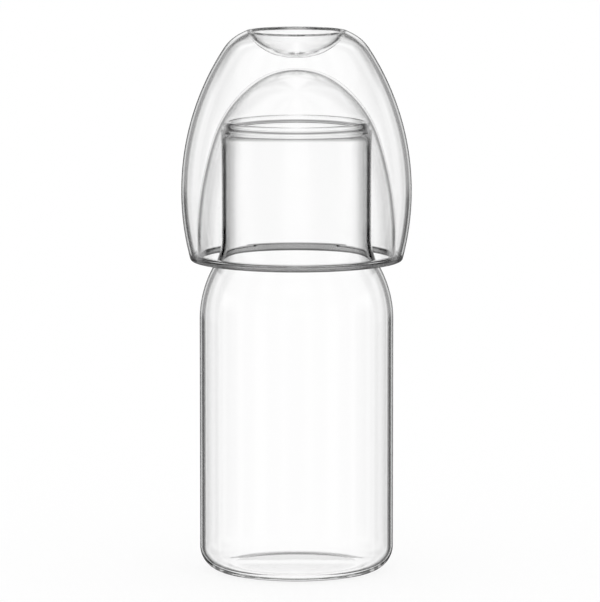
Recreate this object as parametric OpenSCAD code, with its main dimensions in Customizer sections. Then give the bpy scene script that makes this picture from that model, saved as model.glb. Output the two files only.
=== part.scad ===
// Bedside carafe with a double-walled tumbler turned over its neck.
// Millimetres, +Z up. The origin is the centre of the ring that the carafe stands on.
// Every piece is turned glass: one outline revolved about the Z axis.

/* [Carafe body] */
// Outside diameter of the straight body
body_d = 80; // [77:0.5:83]
// Height of the whole carafe, from foot to mouth
carafe_h = 186.6; // [180:0.2:200]
// Wall thickness of the body
body_wall = 1.6; // [1.2:0.1:2]
// Height at which the body starts to turn in towards the neck
shoulder_z = 104.5; // [95:0.5:108]
// Radius of the shoulder's outward curve
shoulder_r = 45; // [38:1:48]
// Radius of the inward curve between shoulder and neck
throat_r = 22; // [18:1:24]

/* [Carafe neck] */
// Outside diameter of the straight neck
neck_d = 62; // [60:0.5:64]
// Wall thickness of the neck
neck_wall = 1.8; // [1.4:0.1:2]
// Thickness of the fire-polished bead round the mouth
bead_d = 2.9; // [2.4:0.1:3.2]
// How far the bead's outer edge stands inside the neck's outer face
bead_step = 0.7; // [0.4:0.1:1]
// Height from the neck's top edge up to the top of the bead
bead_rise = 2.9; // [2.6:0.1:3.2]
// Rounding of the neck's top edge, under the bead
ledge_r = 0.6; // [0.3:0.1:0.8]
// Length over which the neck thickens inwards to the bead
bead_root = 2.4; // [1.5:0.1:4]

/* [Carafe foot] */
// Outside diameter of the flat ring that the carafe stands on
foot_d = 60; // [56:0.5:64]
// Width of that ring
foot_band = 4; // [3:0.5:6]
// Height of the push-up in the middle of the base
push_up = 1.2; // [0.8:0.1:2]
// Thickness of the base
floor_t = 2; // [1.6:0.1:4]
// Least radius of the curve between wall and floor inside, which is wider over a wide heel
floor_corner_r = 8; // [6:0.5:10]

/* [Tumbler outer wall] */
// Widest outside diameter of the tumbler
cup_d = 95; // [94:0.5:98]
// Height of the widest point above the drinking edge
cup_belly_z = 28.5; // [26:0.5:30]
// Radius of the long curve of the side
cup_side_r = 108; // [105:1:111]
// Angle of the side curve, from the widest point to the heel
cup_side_angle = 33; // [32:0.5:34]
// Radius of the heel
cup_heel_r = 18; // [15:0.5:20]
// Radius of the gently domed crown between heel and foot ring
cup_crown_r = 50; // [46:1:54]
// Wall thickness of the outer wall
cup_wall = 1.6; // [1.3:0.1:1.8]

/* [Tumbler foot] */
// How far outside the heel's centre the ring stands that carries the tumbler when it is turned over
foot_step = 5; // [3:0.5:6]
// Radius inside the round ridge of that ring
cup_ridge_r = 0.4; // [0.2:0.1:0.8]
// Height from the bowl's crown to the flat of the push-up inside the ring
foot_room = 6.4; // [5.6:0.1:8]
// Diameter of the flat in the middle of the push-up
cup_flat_d = 9; // [8:0.5:12]

/* [Tumbler lip] */
// Height of the rolled drinking lip
lip_h = 2.2; // [1.8:0.1:3]

/* [Tumbler inner wall] */
// How much narrower the bowl is than the outer wall, on each side, where both are widest
wall_gap = 6.3; // [5.7:0.1:6.5]
// Height of the bowl's widest point above the drinking edge
bowl_belly_z = 7; // [5:0.5:9]
// Radius of the long curve of the bowl's side
bowl_side_r = 140; // [130:1:150]
// Angle of that curve, from the widest point up
bowl_side_angle = 18; // [17:0.5:19]
// Radius of the haunch between side and crown
bowl_haunch_r = 48; // [46:0.5:50]
// How much smaller the radius of the bowl's crown is than that of its widest point
bowl_crown_step = 10.2; // [8:0.2:12]
// Wall thickness of the bowl
bowl_wall = 1.2; // [1:0.1:1.4]

/* [Vent seal] */
// Diameter of the vent hole in the tumbler's foot
vent_d = 3; // [2.5:0.1:4]
// Diameter of the seal's flat pip
seal_d = 5; // [4.5:0.1:6]
// Height of the pip
seal_h = 0.9; // [0.6:0.1:1.2]

/* [Seat] */
// Clearance between the bowl and the carafe's bead, where the tumbler rests
seat_gap = 0.25; // [0.15:0.05:0.3]

/* [Hidden] */
// Degrees between two points of an arc
step_angle = 2.5;
// Degrees from the bead's middle down to where the neck runs into it
root_angle = 45;
$fn = 180;

// Points of an arc about c, from angle a to angle b, both ends included
function arc(c, r, a, b) =
    let (n = max(1, ceil(abs(b - a) / step_angle)))
    [for (i = [0 : n]) let (t = a + (b - a) * i / n) c + r * [cos(t), sin(t)]];

// A list without its first point, to follow a list that ends there
function rest(points) = [for (i = [1 : len(points) - 1]) points[i]];

// A list from its last point to its first
function backwards(points) = [for (i = [len(points) - 1 : -1 : 0]) points[i]];

// Radius of the sphere whose cap has this rim radius and this height
function cap_r(rim, height) = (rim * rim + height * height) / (2 * height);

// Carafe
foot_r = foot_d / 2;
heel_r = (body_d - foot_d) / 2;
bore_r = neck_d / 2 - neck_wall;
bead_r = bead_d / 2;
bead_c = [neck_d / 2 - bead_step - bead_r, carafe_h - bead_r];
ledge_z = carafe_h - bead_rise;
ledge_c = [neck_d / 2 - ledge_r, ledge_z - ledge_r];
root_r = bead_r * cos(root_angle);
root_z = bead_c[1] - bead_r * sin(root_angle);
corner_r = max(floor_corner_r, heel_r - floor_t);
corner_c = [body_d / 2 - body_wall - corner_r, floor_t + corner_r];

// Shoulder and throat: two arcs that touch, from a body radius in to a neck radius
function shoulder_line(body, neck, shoulder, throat) =
    let (turn = acos(1 - (body - neck) / (shoulder + throat)))
    concat(
        arc([body - shoulder, shoulder_z], shoulder, 0, turn),
        rest(arc([neck + throat, shoulder_z + (shoulder + throat) * sin(turn)], throat, 180 + turn, 180)));

// A shallow crown that rises over the axis, from the axis out to its rim
function crown_line(rim, edge_z, height) =
    let (r = cap_r(rim, height), half = asin(rim / r))
    arc([0, edge_z + height - r], r, 90, 90 - half);

function carafe_outline() = concat(
    crown_line(foot_r - foot_band, 0, push_up),
    arc([foot_r, heel_r], heel_r, -90, 0),
    shoulder_line(body_d / 2, neck_d / 2, shoulder_r, throat_r),
    arc(ledge_c, ledge_r, 0, 90),
    [[bead_c[0] + root_r, ledge_z], [bead_c[0] + root_r, root_z], bead_c],
    [[bead_c[0] - root_r, root_z], [bore_r, root_z - bead_root]],
    backwards(shoulder_line(
        body_d / 2 - body_wall, bore_r, shoulder_r - body_wall, throat_r + neck_wall)),
    arc(corner_c, corner_r, 0, -90),
    rest(backwards(crown_line(corner_c[0], floor_t, push_up))));

// Three arcs that touch, as a blown shell has: a long side, a heel or haunch, and a crown.
// Gives the three centres and the angle at which the last two arcs meet.
function shell(widest, belly_z, side, turn, heel, crown) =
    let (
        side_c = [widest - side, belly_z],
        heel_c = side_c + (side - heel) * [cos(turn), sin(turn)],
        meet = acos(heel_c[0] / (crown - heel)))
    [side_c, heel_c, heel_c - (crown - heel) * [cos(meet), sin(meet)], meet];

// One face of a shell, from an angle on its side up to an angle on its crown
function shell_face(s, side, turn, heel, crown, inset, low, high) = concat(
    arc(s[0], side - inset, low, 0),
    rest(arc(s[0], side - inset, 0, turn)),
    rest(arc(s[1], heel - inset, turn, s[3])),
    rest(arc(s[2], crown - inset, s[3], high)));

// The angle at which a shell's side, of radius r about centre c, passes a height
function side_low(c, r, z) = asin((z - c[1]) / r);

// Bowl, with heights from the drinking edge
bowl_belly_r = cup_d / 2 - wall_gap;
bowl_crown_r = bowl_belly_r - bowl_crown_step;
bowl = shell(bowl_belly_r, bowl_belly_z, bowl_side_r, bowl_side_angle, bowl_haunch_r, bowl_crown_r);

function bowl_face(inset) =
    let (low = side_low(bowl[0], bowl_side_r - inset, lip_h))
    shell_face(
        bowl, bowl_side_r, bowl_side_angle, bowl_haunch_r, bowl_crown_r, inset, low, 90);

// Tumbler's outer wall, with heights from the drinking edge
cup = shell(cup_d / 2, cup_belly_z, cup_side_r, cup_side_angle, cup_heel_r, cup_crown_r);
lip_r = lip_h / 2;
lip_low = side_low(cup[0], cup_side_r - lip_r, lip_r);
lip_c = cup[0] + (cup_side_r - lip_r) * [cos(lip_low), sin(lip_low)];
lip_in_r = bowl_face(bowl_wall)[0][0];
ridge_r = cup_ridge_r + cup_wall;
ridge_angle = acos((cup[1][0] + foot_step) / (cup_crown_r - ridge_r));
ridge_c = cup[2] + (cup_crown_r - ridge_r) * [cos(ridge_angle), sin(ridge_angle)];

// The push-up is a round dish that touches the foot ridge and ends at the edge of a flat over the bowl.
// With its centre dish_up above the flat, both conditions give one quadratic in dish_up.
flat_r = cup_flat_d / 2;
flat_z = bowl[2][1] + bowl_crown_r + foot_room;
flat_in_z = flat_z - cup_wall;
ridge_up = ridge_c[1] - flat_z;
dish_a = ridge_up * ridge_up - ridge_r * ridge_r;
dish_b = dish_a + ridge_c[0] * ridge_c[0] - flat_r * flat_r;
dish_up = (dish_b * ridge_up - ridge_r * sqrt(dish_b * dish_b + 4 * flat_r * flat_r * dish_a)) / (2 * dish_a);
dish_r = norm([flat_r, dish_up]);
dish_c = [0, flat_z + dish_up];
dish_edge = atan2(dish_c[1] - ridge_c[1], ridge_c[0]);

function dish_line(outset) =
    let (r = dish_r + outset)
    rest(arc(dish_c, r, -dish_edge, -asin((dish_up + outset) / r)));

function cup_face(inset, low) = concat(
    shell_face(
        cup, cup_side_r, cup_side_angle, cup_heel_r, cup_crown_r, inset, low, ridge_angle),
    rest(arc(ridge_c, ridge_r - inset, ridge_angle, 180 - dish_edge)),
    dish_line(inset));

function cup_outline() = concat(
    arc(lip_c, lip_r, -90, lip_low),
    rest(cup_face(0, lip_low)),
    [[vent_d / 2, flat_z], [vent_d / 2, flat_in_z]],
    backwards(cup_face(cup_wall, side_low(cup[0], cup_side_r - cup_wall, lip_h))),
    [[lip_in_r, lip_h]],
    arc([lip_in_r + lip_r, lip_r], lip_r, 180, 270));

// Height of the drinking edge when the bowl rests on a round edge of radius r about c, with its
// haunch or, where the edge is wide, with its side
function seated(c, r) =
    let (
        haunch = bowl_haunch_r - bowl_wall - seat_gap - r,
        on_haunch = c[0] < bowl[1][0] + haunch * cos(bowl_side_angle),
        reach = on_haunch ? haunch : bowl_side_r - bowl_wall - seat_gap - r,
        from = on_haunch ? bowl[1] : bowl[0])
    c[1] - from[1] - sqrt(pow(reach, 2) - pow(c[0] - from[0], 2));

// The tumbler comes down until its bowl meets the bead or the neck's edge under it
cup_z = max(seated(bead_c, bead_r), seated(ledge_c, ledge_r));

module turned() {
    rotate_extrude() children();
}

module carafe_body() {
    color("gainsboro", 0.45) turned() {
        polygon(carafe_outline());
        translate(bead_c) circle(bead_r);
    }
}

module tumbler_outer_wall() {
    color("whitesmoke", 0.4) translate([0, 0, cup_z]) turned() polygon(cup_outline());
}

module tumbler_inner_wall() {
    color("lightgray", 0.4) translate([0, 0, cup_z])
        turned() polygon(concat(bowl_face(0), backwards(bowl_face(bowl_wall))));
}

module tumbler_vent_seal() {
    pip_r = seal_d / 2;
    color("silver", 0.6) translate([0, 0, cup_z]) turned() polygon(concat(
        [[0, flat_in_z], [vent_d / 2, flat_in_z], [vent_d / 2, flat_z]],
        backwards(crown_line(pip_r, flat_z, seal_h))));
}

carafe_body();
tumbler_outer_wall();
tumbler_inner_wall();
tumbler_vent_seal();
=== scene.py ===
# Bedside carafe with a double-walled tumbler turned over its neck: clear blown glass, in metres, +Z up.
import math

import bmesh
import bpy
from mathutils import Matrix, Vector


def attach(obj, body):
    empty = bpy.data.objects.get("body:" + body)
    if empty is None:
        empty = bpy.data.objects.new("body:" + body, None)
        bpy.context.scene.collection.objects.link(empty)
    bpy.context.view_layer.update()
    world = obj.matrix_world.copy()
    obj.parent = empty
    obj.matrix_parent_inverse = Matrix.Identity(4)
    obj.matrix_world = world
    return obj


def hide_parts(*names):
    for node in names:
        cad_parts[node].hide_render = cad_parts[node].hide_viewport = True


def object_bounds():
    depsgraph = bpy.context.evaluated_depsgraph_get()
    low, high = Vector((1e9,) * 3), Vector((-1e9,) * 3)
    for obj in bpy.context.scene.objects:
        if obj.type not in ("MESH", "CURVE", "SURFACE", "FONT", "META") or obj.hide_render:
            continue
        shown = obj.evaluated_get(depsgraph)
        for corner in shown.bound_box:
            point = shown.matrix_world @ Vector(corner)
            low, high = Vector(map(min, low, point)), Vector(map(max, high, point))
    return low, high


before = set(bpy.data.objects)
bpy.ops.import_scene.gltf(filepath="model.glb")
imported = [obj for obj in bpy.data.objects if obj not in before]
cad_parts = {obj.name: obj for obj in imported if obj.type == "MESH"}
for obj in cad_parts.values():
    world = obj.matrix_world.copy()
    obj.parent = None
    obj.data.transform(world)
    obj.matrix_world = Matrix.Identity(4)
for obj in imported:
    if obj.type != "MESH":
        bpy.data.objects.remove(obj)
cad_low, cad_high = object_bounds()

# The carafe
# One piece of clear borosilicate glass, blown into a mould: straight body, shoulder and wide neck. The
# cut mouth is fire-polished to a bead, and the base is pushed up so that it stands on a flat ring.
MM = 0.001
BODY_R = 40 * MM
BODY_WALL = 1.6 * MM
CARAFE_H = 186.6 * MM
SHOULDER_Z = 104.5 * MM
SHOULDER_R = 45 * MM
THROAT_R = 22 * MM
NECK_R = 31 * MM
NECK_WALL = 1.8 * MM
BEAD_R = 1.45 * MM
BEAD_STEP = 0.7 * MM
BEAD_RISE = 2.9 * MM
BEAD_ROOT = 2.4 * MM
BEAD_TURN = 35
LEDGE_R = 0.6 * MM
GROOVE_R = 0.15 * MM
FOOT_R = 30 * MM
FOOT_BAND = 4 * MM
PUSH_UP = 1.2 * MM
FLOOR_T = 2 * MM
FLOOR_CORNER_R = 8 * MM
CARAFE_RIPPLE = 0.02 * MM
CARAFE_RIPPLE_SIZE = 22 * MM
CLEAR = (0.999, 0.999, 0.999, 1)
REFLECTION_TINT = (0.1, 0.1, 0.1, 1)
GLASS_IOR = 1.47
RIPPLE_STRETCH = 0.35
RIPPLE_DETAIL = 2.0
BLOWN_HAZE = 0.02
HAZE_SIZE = 18 * MM
POINT_GAP = 1.1 * MM
POINT_TURN = math.radians(5)
STRAIGHT_GAP = 4 * POINT_GAP
SAME_POINT = 0.001 * MM
WELD = 0.0005 * MM
STEPS_ROUND = 160


def arc(centre, radius, start, end):
    """Points of an arc in degrees, both ends included, close enough together to look round."""
    start, end = math.radians(start), math.radians(end)
    turn = abs(end - start)
    steps = max(2, math.ceil(max(radius * turn / POINT_GAP, turn / POINT_TURN)))
    angles = [start + (end - start) * i / steps for i in range(steps + 1)]
    return [(centre[0] + radius * math.cos(a), centre[1] + radius * math.sin(a)) for a in angles]


def point_at(centre, radius, angle):
    """The point of a circle at an angle in degrees."""
    return arc(centre, radius, angle, angle)[0]


def crown(rim, edge_z, height):
    """A shallow crown from the axis out to its rim."""
    radius = (rim * rim + height * height) / (2 * height)
    half = math.degrees(math.asin(rim / radius))
    return arc((0, edge_z + height - radius), radius, 90, 90 - half)


def shoulder(body, neck, outward, inward):
    """The two touching arcs that lead from the body's radius in to the neck's."""
    turn = math.acos(1 - (body - neck) / (outward + inward))
    throat = (neck + inward, SHOULDER_Z + (outward + inward) * math.sin(turn))
    turn = math.degrees(turn)
    return arc((body - outward, SHOULDER_Z), outward, 0, turn) + arc(throat, inward, 180 + turn, 180)


def joined(*stretches):
    """One outline from its stretches, with long straight lines cut up and doubled points left out."""
    points = [p for stretch in stretches for p in stretch]
    outline = [points[0]]
    for p in points[1:]:
        last = outline[-1]
        length = math.dist(last, p)
        if length < SAME_POINT:
            continue
        steps = math.ceil(length / STRAIGHT_GAP)
        outline += [
            (last[0] + (p[0] - last[0]) * i / steps, last[1] + (p[1] - last[1]) * i / steps)
            for i in range(1, steps + 1)
        ]
    return outline


class Wire:
    """One output of a node. Sums and products of wires and numbers add Math nodes to its tree."""

    def __init__(self, tree, socket=None):
        self.tree = tree
        self.socket = socket

    def node(self, kind, settings=None, inputs=None, out=0):
        """A new node in the same tree: its settings first, then the values or links of its sockets."""
        node = self.tree.nodes.new(kind)
        for name, value in (settings or {}).items():
            if name == "stops":
                ramp = node.color_ramp
                while len(ramp.elements) < len(value):
                    ramp.elements.new(0.5)
                for element, (place, level) in zip(ramp.elements, value):
                    element.position = place
                    element.color = (level, level, level, 1)
            else:
                setattr(node, name, value)
        for key, value in (inputs or {}).items():
            if isinstance(value, Wire):
                self.tree.links.new(value.socket, node.inputs[key])
            else:
                node.inputs[key].default_value = value
        return Wire(self.tree, node.outputs[out] if node.outputs else None)

    def output(self, name):
        """Another output of this wire's node."""
        return Wire(self.tree, self.socket.node.outputs[name])

    def maths(self, operation, *values):
        """A Math node on these values."""
        return self.node("ShaderNodeMath", {"operation": operation}, dict(enumerate(values)))

    def __add__(self, other):
        return self.maths("ADD", self, other)

    def __sub__(self, other):
        return self.maths("SUBTRACT", self, other)

    def __rsub__(self, other):
        return self.maths("SUBTRACT", other, self)

    def __mul__(self, other):
        return self.maths("MULTIPLY", self, other)

    def __truediv__(self, other):
        return self.maths("DIVIDE", self, other)

    __radd__ = __add__
    __rmul__ = __mul__


def turning_tree():
    """Geometry Nodes that turn an outline, given as a row of points in X and Z, about the Z axis."""
    tree = bpy.data.node_groups.new("Turned glass", "GeometryNodeTree")
    face = tree.interface
    face.new_socket("Outline", in_out="INPUT", socket_type="NodeSocketGeometry")
    face.new_socket("Steps Round", in_out="INPUT", socket_type="NodeSocketInt")
    face.new_socket("Weld Distance", in_out="INPUT", socket_type="NodeSocketFloat")
    face.new_socket("Material", in_out="INPUT", socket_type="NodeSocketMaterial")
    face.new_socket("Piece", in_out="OUTPUT", socket_type="NodeSocketGeometry")
    given = Wire(tree).node("NodeGroupInput")
    outline = given.output("Outline")
    steps = given.output("Steps Round")
    columns = steps + 1
    size = given.node("GeometryNodeAttributeDomainSize", {"component": "MESH"}, {"Geometry": outline})
    sizes = {"Vertices X": size.output("Point Count"), "Vertices Y": columns}
    grid = given.node("GeometryNodeMeshGrid", None, sizes)
    index = given.node("GeometryNodeInputIndex")
    row = given.maths("FLOOR", index / columns)
    angle = given.maths("MODULO", index, columns) / steps * math.tau
    place = given.node("GeometryNodeInputPosition")
    sample = given.node(
        "GeometryNodeSampleIndex",
        {"data_type": "FLOAT_VECTOR", "domain": "POINT"},
        {"Geometry": outline, "Value": place, "Index": row},
    )
    round_axis = given.node(
        "ShaderNodeVectorRotate", {"rotation_type": "Z_AXIS"}, {"Vector": sample, "Angle": angle}
    )
    moved = given.node("GeometryNodeSetPosition", None, {"Geometry": grid, "Position": round_axis})
    weld = {"Geometry": moved, "Distance": given.output("Weld Distance")}
    welded = given.node("GeometryNodeMergeByDistance", None, weld)
    smooth = given.node("GeometryNodeSetShadeSmooth", None, {"Geometry": welded})
    whole = given.node("GeometryNodeRealizeInstances", None, {"Geometry": smooth})
    dressed = given.node(
        "GeometryNodeSetMaterial", None, {"Geometry": whole, "Material": given.output("Material")}
    )
    given.node("NodeGroupOutput", None, {"Piece": dressed})
    return tree


def turned(name, outline, material, steps=STEPS_ROUND):
    """A plain mesh object: the outline turned about the axis, with its faces outwards."""
    rows = bpy.data.meshes.new(name)
    edges = [(i, i + 1) for i in range(len(outline) - 1)]
    rows.from_pydata([(r, 0, z) for r, z in outline], edges, [])
    piece = bpy.data.objects.new(name, rows)
    bpy.context.scene.collection.objects.link(piece)
    modifier = piece.modifiers.new("Turned", "NODES")
    modifier.node_group = TURNING
    inputs = {"Steps Round": steps, "Weld Distance": WELD, "Material": material}
    for socket in TURNING.interface.items_tree:
        if socket.name in inputs:
            modifier[socket.identifier] = inputs[socket.name]
    view = bpy.context.evaluated_depsgraph_get()
    mesh = bpy.data.meshes.new_from_object(piece.evaluated_get(view))
    piece.modifiers.clear()
    piece.data = mesh
    mesh.name = name
    skin = bmesh.new()
    skin.from_mesh(mesh)
    if skin.calc_volume(signed=True) < 0:
        bmesh.ops.reverse_faces(skin, faces=skin.faces)
    skin.to_mesh(mesh)
    skin.free()
    return piece


def clear_glass(name, ripple, ripple_size, haze=BLOWN_HAZE, ring=None):
    """Clear blown glass, with soft ripples along the wall and a trace of haze. A ring, given by its top,
    painted shade and haze, is a solid fused edge that is hazier than the thin wall above it, and its
    grey colour is painted shade for the darkness that its thick glass shows."""
    material = bpy.data.materials.new(name)
    material.use_nodes = True
    tree = material.node_tree
    tree.nodes.clear()
    place = Wire(tree).node("ShaderNodeTexCoord", out="Object")
    stretch = (1.0, 1.0, RIPPLE_STRETCH)
    stretched = place.node("ShaderNodeMapping", None, {"Vector": place, "Scale": stretch})
    waves = place.node(
        "ShaderNodeTexNoise",
        None,
        {"Vector": stretched, "Scale": 1 / ripple_size, "Detail": RIPPLE_DETAIL},
    )
    film = place.node("ShaderNodeTexNoise", None, {"Vector": place, "Scale": 1 / HAZE_SIZE})
    rough = film * haze
    bump = place.node("ShaderNodeBump", None, {"Height": waves, "Strength": 1.0, "Distance": ripple})
    tint_and_ring_shade = CLEAR
    if ring:
        ring_top, ring_painted_shade, ring_haze = ring
        axes = place.node("ShaderNodeSeparateXYZ", None, {0: place})
        in_ring = place.maths("LESS_THAN", axes.output("Z"), ring_top)
        # Inside the ring the clear colour is mixed to a grey that is painted shade for the dark fused
        # edge, not a colour of the glass.
        ring_shade_mix = {0: in_ring, 6: CLEAR, 7: ring_painted_shade}
        tint_and_ring_shade = place.node("ShaderNodeMix", {"data_type": "RGBA"}, ring_shade_mix, out=2)
        rough = in_ring * ring_haze + rough
    glass = place.node(
        "ShaderNodeBsdfPrincipled",
        None,
        {
            "Base Color": tint_and_ring_shade,
            "Transmission Weight": 1.0,
            "IOR": GLASS_IOR,
            "Specular Tint": REFLECTION_TINT,
            "Roughness": rough,
            "Normal": bump,
        },
    )
    place.node("ShaderNodeOutputMaterial", None, {"Surface": glass})
    return material


TURNING = turning_tree()
heel_r = BODY_R - FOOT_R
bore_r = NECK_R - NECK_WALL
inside_r = BODY_R - BODY_WALL
bead = (NECK_R - BEAD_STEP - BEAD_R, CARAFE_H - BEAD_R)
ledge_z = CARAFE_H - BEAD_RISE
ledge = (NECK_R - LEDGE_R, ledge_z - LEDGE_R)
bead_root = point_at(bead, BEAD_R, -BEAD_TURN)
groove = (bead_root[0] + GROOVE_R, ledge_z + GROOVE_R)
corner_r = max(FLOOR_CORNER_R, heel_r - FLOOR_T)
corner = (inside_r - corner_r, FLOOR_T + corner_r)
carafe_outline = joined(
    crown(FOOT_R - FOOT_BAND, 0, PUSH_UP),
    arc((FOOT_R, heel_r), heel_r, -90, 0),
    shoulder(BODY_R, NECK_R, SHOULDER_R, THROAT_R),
    arc(ledge, LEDGE_R, 0, 90),
    arc(groove, GROOVE_R, 270, 180),
    arc(bead, BEAD_R, -BEAD_TURN, 180 + BEAD_TURN),
    [(bore_r, bead_root[1] - BEAD_ROOT)],
    shoulder(inside_r, bore_r, SHOULDER_R - BODY_WALL, THROAT_R + NECK_WALL)[::-1],
    arc(corner, corner_r, 0, -90),
    crown(corner[0], FLOOR_T, PUSH_UP)[::-1],
)
carafe = turned(
    "carafe_glass",
    carafe_outline,
    clear_glass("Clear carafe glass", CARAFE_RIPPLE, CARAFE_RIPPLE_SIZE),
)
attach(carafe, "carafe")
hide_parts("carafe_body")

# The tumbler's inner wall
# The bowl that one drinks from: a thin dome of clear glass, blown by itself and fused to the outer wall
# at the lip. It rests upside down with its haunch on the carafe's bead.
CUP_R = 47.5 * MM
WALL_GAP = 6.3 * MM
BOWL_BELLY_Z = 7 * MM
BOWL_SIDE_R = 140 * MM
BOWL_SIDE_TURN = 18
BOWL_HAUNCH_R = 48 * MM
BOWL_CROWN_STEP = 10.2 * MM
BOWL_WALL = 1.2 * MM
LIP_H = 2.2 * MM
SEAT_GAP = 0.25 * MM
BOWL_RIPPLE = 0.015 * MM
BOWL_RIPPLE_SIZE = 26 * MM


def shell(widest, belly_z, turn, radii):
    """Centres of a blown shell's side, heel and crown arcs, and the angle where the last two meet."""
    side, heel, crown_r = radii
    side_c = (widest - side, belly_z)
    heel_c = point_at(side_c, side - heel, turn)
    meet = math.acos(heel_c[0] / (crown_r - heel))
    crown_c = (0, heel_c[1] - (crown_r - heel) * math.sin(meet))
    return side_c, heel_c, crown_c, math.degrees(meet)


def shell_face(centres, radii, turn, inset, low, high):
    """One face of a shell, from an angle on its side up to an angle on its crown."""
    side_c, heel_c, crown_c, meet = centres
    side, heel, crown_r = (r - inset for r in radii)
    side_arc = arc(side_c, side, low, turn)
    return side_arc + arc(heel_c, heel, turn, meet) + arc(crown_c, crown_r, meet, high)


def side_low(centre, radius, z):
    """The angle at which a shell's side passes a height."""
    return math.degrees(math.asin((z - centre[1]) / radius))


def bowl_face(inset):
    """One face of the bowl, from the ledge at the lip up to the axis."""
    low = side_low(bowl_centres[0], BOWL_SIDE_R - inset, LIP_H)
    return shell_face(bowl_centres, bowl_radii, BOWL_SIDE_TURN, inset, low, 90)


def seated(centre, radius):
    """The drinking edge's height when the bowl's haunch rests on a round edge of the carafe's mouth."""
    reach = BOWL_HAUNCH_R - BOWL_WALL - SEAT_GAP - radius
    haunch_c = bowl_centres[1]
    return centre[1] - haunch_c[1] - math.sqrt(reach**2 - (centre[0] - haunch_c[0]) ** 2)


def raised(outline, z):
    """The outline at its height above the table."""
    return [(r, h + z) for r, h in outline]


bowl_belly_r = CUP_R - WALL_GAP
bowl_radii = (BOWL_SIDE_R, BOWL_HAUNCH_R, bowl_belly_r - BOWL_CROWN_STEP)
bowl_centres = shell(bowl_belly_r, BOWL_BELLY_Z, BOWL_SIDE_TURN, bowl_radii)
cup_z = max(seated(bead, BEAD_R), seated(ledge, LEDGE_R))
bowl = turned(
    "tumbler_bowl",
    raised(joined(bowl_face(BOWL_WALL)[::-1], bowl_face(0)), cup_z),
    clear_glass("Clear bowl glass", BOWL_RIPPLE, BOWL_RIPPLE_SIZE),
)
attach(bowl, "tumbler")
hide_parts("tumbler_inner_wall")

# The tumbler's outer wall
# The shell that the hand holds, blown from clear glass: rolled lip, long curved side, soft heel and a
# small foot ring round a dished push-up, whose vent hole let the air out while the walls were fused.
CUP_BELLY_Z = 28.5 * MM
CUP_SIDE_R = 108 * MM
CUP_SIDE_TURN = 33
CUP_HEEL_R = 18 * MM
CUP_CROWN_R = 50 * MM
CUP_WALL = 1.6 * MM
CUP_RIDGE_R = 0.4 * MM
FOOT_STEP = 5 * MM
FOOT_ROOM = 6.4 * MM
CUP_FLAT_R = 4.5 * MM
VENT_R = 1.5 * MM
CUP_RIPPLE = 0.02 * MM
CUP_RIPPLE_SIZE = 24 * MM
# The ring's grey is painted shade for the dark band that the thick fused lip shows. The clear glass
# itself has no grey; only the ring's haze is real.
RING_PAINTED_SHADE = (0.38, 0.38, 0.38, 1)
RING_HAZE = 0.2


def cup_face(inset, low):
    """One face of the outer wall, from an angle on its side over the foot ring to the push-up's flat."""
    dish_turn = math.degrees(math.asin((dish_up + inset) / (dish_r + inset)))
    return joined(
        shell_face(cup_centres, cup_radii, CUP_SIDE_TURN, inset, low, ridge_turn),
        arc(ridge, ridge_r - inset, ridge_turn, 180 - dish_edge),
        arc((0, flat_z + dish_up), dish_r + inset, -dish_edge, -dish_turn),
    )


cup_radii = (CUP_SIDE_R, CUP_HEEL_R, CUP_CROWN_R)
cup_centres = shell(CUP_R, CUP_BELLY_Z, CUP_SIDE_TURN, cup_radii)
lip_r = LIP_H / 2
lip_low = side_low(cup_centres[0], CUP_SIDE_R - lip_r, lip_r)
lip = point_at(cup_centres[0], CUP_SIDE_R - lip_r, lip_low)
lip_in_r = bowl_face(BOWL_WALL)[0][0]
ridge_r = CUP_RIDGE_R + CUP_WALL
ridge_turn = math.degrees(math.acos((cup_centres[1][0] + FOOT_STEP) / (CUP_CROWN_R - ridge_r)))
ridge = point_at(cup_centres[2], CUP_CROWN_R - ridge_r, ridge_turn)
flat_z = bowl_centres[2][1] + bowl_radii[2] + FOOT_ROOM
flat_in_z = flat_z - CUP_WALL
# The push-up is a round dish that touches the ridge and ends at the flat's edge, which makes the height
# of its centre over the flat the root of a quadratic.
ridge_up = ridge[1] - flat_z
dish_a = ridge_up**2 - ridge_r**2
dish_b = dish_a + ridge[0] ** 2 - CUP_FLAT_R**2
dish_root = math.sqrt(dish_b**2 + 4 * CUP_FLAT_R**2 * dish_a)
dish_up = (dish_b * ridge_up - ridge_r * dish_root) / (2 * dish_a)
dish_r = math.hypot(CUP_FLAT_R, dish_up)
dish_edge = math.degrees(math.atan2(dish_up - ridge_up, ridge[0]))
cup_outline = joined(
    arc(lip, lip_r, -90, lip_low),
    cup_face(0, lip_low),
    [(VENT_R, flat_z), (VENT_R, flat_in_z)],
    cup_face(CUP_WALL, side_low(cup_centres[0], CUP_SIDE_R - CUP_WALL, LIP_H))[::-1],
    [(lip_in_r, LIP_H)],
    arc((lip_in_r + lip_r, lip_r), lip_r, 180, 270),
    [(lip[0], 0)],
)
# The fused ring: its top, its grey painted shade and its real haze.
fused_ring = (cup_z + LIP_H, RING_PAINTED_SHADE, RING_HAZE)
cup = turned(
    "tumbler_outer_glass",
    raised(cup_outline, cup_z),
    clear_glass("Clear tumbler glass", CUP_RIPPLE, CUP_RIPPLE_SIZE, ring=fused_ring),
)
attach(cup, "tumbler")
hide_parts("tumbler_outer_wall")

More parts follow.
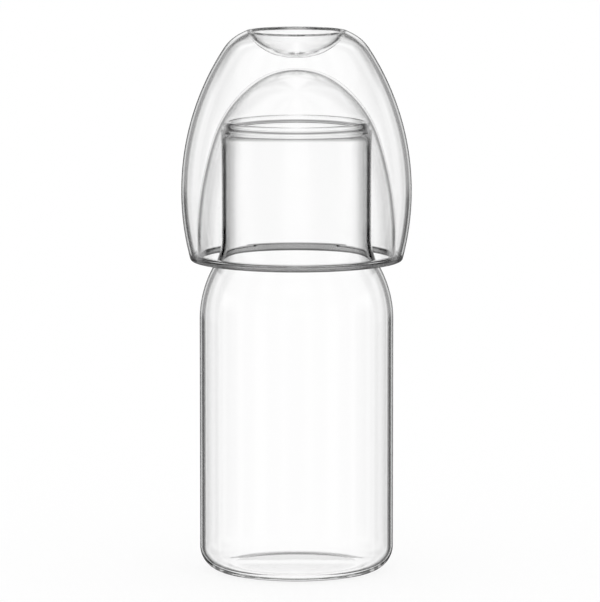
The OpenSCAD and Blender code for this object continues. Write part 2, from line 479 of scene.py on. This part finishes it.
# The vent seal
# A pip of the same glass, melted over the vent hole in the middle of the tumbler's foot after the walls
# were fused. It is smooth and slightly domed.
SEAL_R = 2.5 * MM
SEAL_H = 0.9 * MM
SEAL_RIPPLE = 0.01 * MM
SEAL_RIPPLE_SIZE = 3 * MM
SEAL_HAZE = 0.05
SEAL_STEPS_ROUND = 64
seal_outline = joined(
    [(0, flat_in_z), (VENT_R, flat_in_z), (VENT_R, flat_z)],
    crown(SEAL_R, flat_z, SEAL_H)[::-1],
)
seal = turned(
    "vent_seal_glass",
    raised(seal_outline, cup_z),
    clear_glass("Melted seal glass", SEAL_RIPPLE, SEAL_RIPPLE_SIZE, SEAL_HAZE),
    SEAL_STEPS_ROUND,
)
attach(seal, "tumbler")
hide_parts("tumbler_vent_seal")

# The studio
# A sheet of white paper, with four wide soft panels round the glass, one on each side, and four narrow
# ones between them. The dark gaps between the panels are what draws the edges of clear glass.
SHEET_HALF = 30.0
SHEET_LIT = 0.85
WHITE = (1, 1, 1, 1)
sheet_mesh = bpy.data.meshes.new("floor")
sheet_corners = [(x * SHEET_HALF, y * SHEET_HALF, 0) for x, y in ((-1, -1), (1, -1), (1, 1), (-1, 1))]
sheet_mesh.from_pydata(sheet_corners, [], [(0, 1, 2, 3)])
sheet = bpy.data.objects.new("floor", sheet_mesh)
bpy.context.scene.collection.objects.link(sheet)
paper = bpy.data.materials.new("White paper")
paper.use_nodes = True
paper.node_tree.nodes.clear()
matt = Wire(paper.node_tree).node("ShaderNodeBsdfDiffuse", None, {"Color": WHITE})
lit = matt.node("ShaderNodeEmission", None, {"Color": WHITE, "Strength": 1.0})
seen = matt.node("ShaderNodeLightPath", out="Is Camera Ray") * SHEET_LIT
look = matt.node("ShaderNodeMixShader", None, {0: seen, 1: matt, 2: lit})
matt.node("ShaderNodeOutputMaterial", None, {"Surface": look})
sheet_mesh.materials.append(paper)
sheet.visible_transmission = False
sheet.visible_glossy = False

# What the light round the glass shows depends on where it comes from, on how many faces of the glass it
# has gone through, two for each wall, and on how often the glass has mirrored it.
WIDE_PANELS = 4
WALL_FACES = 2
DEEP_WALLS = 4
TWICE_LEVEL = 0.7
DEEP_FADE = 0.3


def levels(place, *stops):
    """A level that follows a place between 0 and 1 through these stops."""
    return way.node("ShaderNodeValToRGB", {"stops": stops}, {"Fac": place})


def from_zero(value):
    """A value between -1 and 1 brought to between 0 and 1."""
    return value * 0.5 + 0.5


def at_most(count, times):
    """1 where a whole count is no more than this, otherwise 0."""
    return count.maths("LESS_THAN", count, times + 0.5)


def at_least(count, times):
    """1 where a whole count is no less than this, otherwise 0."""
    return count.maths("GREATER_THAN", count, times - 0.5)


world = bpy.data.worlds.new("Studio")
world.use_nodes = True
bpy.context.scene.world = world
world.node_tree.nodes.clear()
way = Wire(world.node_tree).node("ShaderNodeTexCoord", out="Generated")
path = way.node("ShaderNodeLightPath")
faces = path.output("Transmission Depth")
mirrored = path.output("Glossy Depth")
through = path.output("Is Transmission Ray")
not_paper = at_most(path.output("Diffuse Depth"), 0)
outermost = at_most(faces, WALL_FACES)
second = at_most(faces, 2 * WALL_FACES) - outermost
deep = at_least(faces, DEEP_WALLS * WALL_FACES)
straight = at_most(mirrored, 0)
twice = at_least(mirrored, 2)
once = 1 - straight - twice

# A direction is 1 before, behind and beside the object and 0 halfway between these. Its height is 0
# straight below, 0.5 on the level and 1 straight above.
parts = way.node("ShaderNodeSeparateXYZ", None, {0: way})
turn = way.maths("ARCTAN2", parts.output("Y"), parts.output("X"))
quarters = from_zero(way.maths("COSINE", turn * WIDE_PANELS))
up = from_zero(parts.output("Z"))

# The panels, and the dark band over them, which is wide for light that goes straight through the glass
# and narrow for light that it mirrors. Light mirrored once at the second wall misses the band.
panels = levels(
    quarters,
    *((0.0, 1.0), (0.015, 1.0), (0.05, 0.02), (0.46, 0.02)),
    *((0.6, 0.3), (0.76, 0.55), (0.88, 0.72), (0.95, 1.0)),
)
height = levels(up, (0.0, 1.0), (0.54, 1.0), (0.62, 0.1), (0.8, 0.1), (0.95, 1.0))
sky = levels(up, (0.0, 1.0), (0.62, 1.0), (0.66, 0.1), (0.74, 0.1), (0.78, 1.0))
second_sky = sky + (1 - sky) * second

# What mirrored light shows of the panels, from inside the glass, from outside it and through many walls.
# The least level keeps the gaps from going black, other than those below.
inside_edge = levels(quarters, (0.0, 1.0), (0.04, 1.0), (0.1, 0.02), (0.55, 0.02), (0.64, 1.0))
outside_edge = levels(quarters, (0.0, 1.0), (0.04, 1.0), (0.1, 0.02), (0.68, 0.05), (0.78, 1.0))
deep_edge = levels(quarters, (0.0, 0.0), (0.58, 0.0), (0.72, 1.0))
least = levels(up, (0.0, 0.0), (0.3, 0.0), (0.34, 0.08), (0.44, 0.08), (0.455, 0.3))
edge = through * inside_edge + (1 - through) * outside_edge
edge = least + edge - least * edge

# The thin dark line along the object's outline, and a thinner one along the walls inside it
outer_line = levels(quarters, (0.0, 0.0), (0.72, 0.0), (0.8, 1.0))
outer_line = outer_line * levels(up, (0.0, 0.0), (0.2, 0.0), (0.27, 1.0), (0.53, 1.0), (0.57, 0.0))
inner_line = levels(quarters, (0.0, 0.0), (0.85, 0.0), (0.93, 1.0))
inner_line = inner_line * levels(up, (0.0, 0.0), (0.36, 0.0), (0.4, 1.0), (0.48, 1.0), (0.5, 0.0))
line = outermost * outer_line + (1 - outermost) * inner_line

# The gaps show in the glass alone: the background is white, and an even white sky lights the paper.
shallow = through * straight * (1 - panels * height) * (1 - DEEP_FADE * deep)
shallow = shallow + once * (1 - edge * (1 - line) * second_sky)
shallow = shallow + twice * (1 - edge * TWICE_LEVEL * sky)
hidden = deep * (1 - straight)
gaps = (1 - hidden) * shallow + hidden * (1 - deep_edge * sky)
level = 1 - not_paper * gaps
shine = way.node("ShaderNodeBackground", None, {"Color": WHITE, "Strength": level})
way.node("ShaderNodeOutputWorld", None, {"Surface": shine})

# The camera
# It stands in front of the object and a little above it, as the photograph was taken, and looks at the
# object's middle. The lens gives the photograph's scale and the shift its framing.
CAMERA_BACK = 2300 * MM
CAMERA_Z = 410 * MM
PIXELS_A_MM = 2.42
PICTURE_H = 602
SHIFT_PIXELS = 3.5
SENSOR = 36
VIEW_END = 100
LIGHT_BOUNCES = 32
camera_data = bpy.data.cameras.new("camera")
camera = bpy.data.objects.new("camera", camera_data)
bpy.context.scene.collection.objects.link(camera)
bpy.context.scene.camera = camera
middle = Vector((0, 0, (cad_low[2] + cad_high[2]) / 2))
camera.location = (0, -CAMERA_BACK, CAMERA_Z)
away = middle - camera.location
camera.rotation_euler = away.to_track_quat("-Z", "Y").to_euler()
camera_data.sensor_width = SENSOR
camera_data.lens = SENSOR * away.length / (PICTURE_H / PIXELS_A_MM * MM)
camera_data.shift_x = SHIFT_PIXELS / PICTURE_H
camera_data.clip_end = VIEW_END
bpy.context.scene.view_settings.view_transform = "Standard"
bpy.context.scene.cycles.max_bounces = LIGHT_BOUNCES
bpy.context.scene.cycles.transmission_bounces = LIGHT_BOUNCES
bpy.context.scene.cycles.glossy_bounces = LIGHT_BOUNCES
